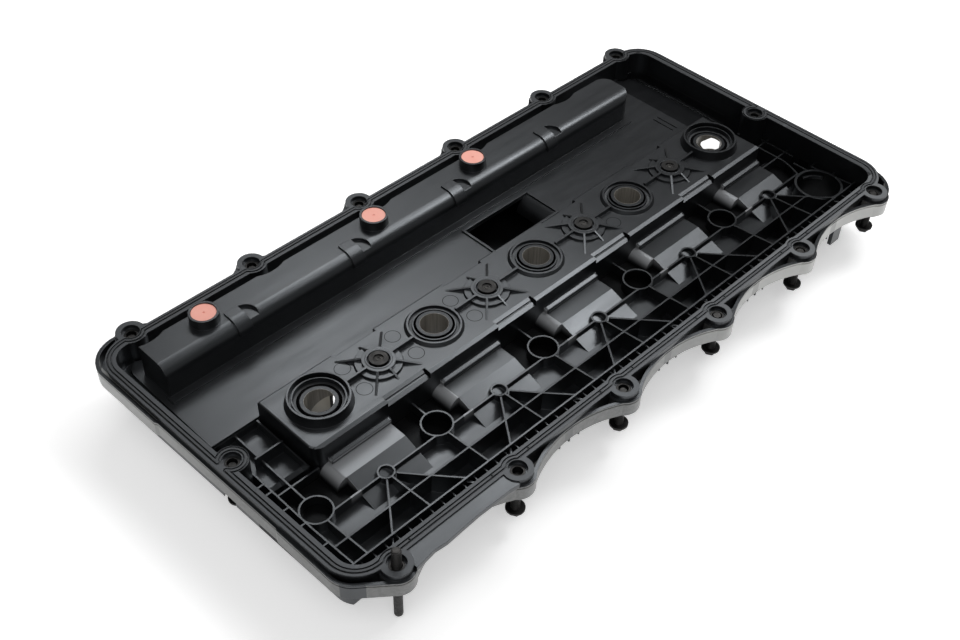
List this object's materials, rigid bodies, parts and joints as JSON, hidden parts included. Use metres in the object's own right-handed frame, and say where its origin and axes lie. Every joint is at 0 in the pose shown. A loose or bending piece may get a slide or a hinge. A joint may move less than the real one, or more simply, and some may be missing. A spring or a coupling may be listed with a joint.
{
  "type": "engine valve cover",
  "caption": "Moulded engine valve cover seen from inside, with ribs, injector bores, oil separator duct, sealing gasket and captive flange bolts.",
  "frame": {"origin": "on the axis of the middle injector bore, in the plane of the sealing face", "axes": "+X along the engine towards the filler neck, +Y towards the separator duct, +Z out of the inside of the cover, towards the cylinder head"},
  "size_m": [0.5565, 0.2819, 0.073],
  "materials": {
    "nylon_black": "glass-filled nylon, moulded, soft sheen",
    "rubber_seal": "moulded elastomer, dull",
    "steel_dark": "turned steel, dull grey",
    "steel_zinc": "zinc-flake coated steel, dull",
    "disc_salmon": "soft elastomer, satin"
  },
  "bodies": {
    "cover": {"cover_moulding": "nylon_black", "separator_baffle": "nylon_black", "perimeter_gasket": "rubber_seal", "injector_seal_1": "rubber_seal", "injector_seal_2": "rubber_seal", "injector_seal_3": "rubber_seal", "injector_seal_4": "rubber_seal", "injector_seal_5": "rubber_seal", "centre_sleeve_1": "steel_dark", "centre_seal_1": "rubber_seal", "centre_sleeve_2": "steel_dark", "centre_seal_2": "rubber_seal", "centre_sleeve_3": "steel_dark", "centre_seal_3": "rubber_seal", "centre_sleeve_4": "steel_dark", "centre_seal_4": "rubber_seal", "bolt_sleeve_1": "steel_dark", "bolt_sleeve_2": "steel_dark", "bolt_sleeve_3": "steel_dark", "bolt_sleeve_4": "steel_dark", "bolt_sleeve_5": "steel_dark", "bolt_sleeve_6": "steel_dark", "bolt_sleeve_7": "steel_dark", "bolt_sleeve_8": "steel_dark", "bolt_sleeve_9": "steel_dark", "bolt_sleeve_10": "steel_dark", "bolt_sleeve_11": "steel_dark", "bolt_sleeve_12": "steel_dark", "bolt_sleeve_13": "steel_dark", "bolt_sleeve_14": "steel_dark", "long_stud": "steel_zinc", "drain_disc_1": "disc_salmon", "drain_disc_2": "disc_salmon", "drain_disc_3": "disc_salmon"},
    "bolt_1": {"flange_bolt_1": "steel_zinc"},
    "bolt_2": {"flange_bolt_2": "steel_zinc"},
    "bolt_3": {"flange_bolt_3": "steel_zinc"},
    "bolt_4": {"flange_bolt_4": "steel_zinc"},
    "bolt_5": {"flange_bolt_5": "steel_zinc"},
    "bolt_6": {"flange_bolt_6": "steel_zinc"},
    "bolt_7": {"flange_bolt_7": "steel_zinc"},
    "bolt_8": {"flange_bolt_8": "steel_zinc"},
    "bolt_9": {"flange_bolt_9": "steel_zinc"},
    "bolt_10": {"flange_bolt_10": "steel_zinc"},
    "bolt_11": {"flange_bolt_11": "steel_zinc"},
    "bolt_12": {"flange_bolt_12": "steel_zinc"},
    "bolt_13": {"flange_bolt_13": "steel_zinc"}
  },
  "joints": [
    {"name": "bolt_1_slide", "type": "slide", "parent": "cover", "child": "bolt_1", "axis": [0, 0, 1], "range_m": [0, 0.0198]},
    {"name": "bolt_2_slide", "type": "slide", "parent": "cover", "child": "bolt_2", "axis": [0, 0, 1], "range_m": [0, 0.0175]},
    {"name": "bolt_3_slide", "type": "slide", "parent": "cover", "child": "bolt_3", "axis": [0, 0, 1], "range_m": [0, 0.0151]},
    {"name": "bolt_4_slide", "type": "slide", "parent": "cover", "child": "bolt_4", "axis": [0, 0, 1], "range_m": [0, 0.016]},
    {"name": "bolt_5_slide", "type": "slide", "parent": "cover", "child": "bolt_5", "axis": [0, 0, 1], "range_m": [0, 0.0152]},
    {"name": "bolt_6_slide", "type": "slide", "parent": "cover", "child": "bolt_6", "axis": [0, 0, 1], "range_m": [0, 0.0178]},
    {"name": "bolt_7_slide", "type": "slide", "parent": "cover", "child": "bolt_7", "axis": [0, 0, 1], "range_m": [0, 0.0178]},
    {"name": "bolt_8_slide", "type": "slide", "parent": "cover", "child": "bolt_8", "axis": [0, 0, 1], "range_m": [0, 0.0178]},
    {"name": "bolt_9_slide", "type": "slide", "parent": "cover", "child": "bolt_9", "axis": [0, 0, 1], "range_m": [0, 0.0178]},
    {"name": "bolt_10_slide", "type": "slide", "parent": "cover", "child": "bolt_10", "axis": [0, 0, 1], "range_m": [0, 0.0178]},
    {"name": "bolt_11_slide", "type": "slide", "parent": "cover", "child": "bolt_11", "axis": [0, 0, 1], "range_m": [0, 0.0178]},
    {"name": "bolt_12_slide", "type": "slide", "parent": "cover", "child": "bolt_12", "axis": [0, 0, 1], "range_m": [0, 0.0178]},
    {"name": "bolt_13_slide", "type": "slide", "parent": "cover", "child": "bolt_13", "axis": [0, 0, 1], "range_m": [0, 0.0178]}
  ]
}
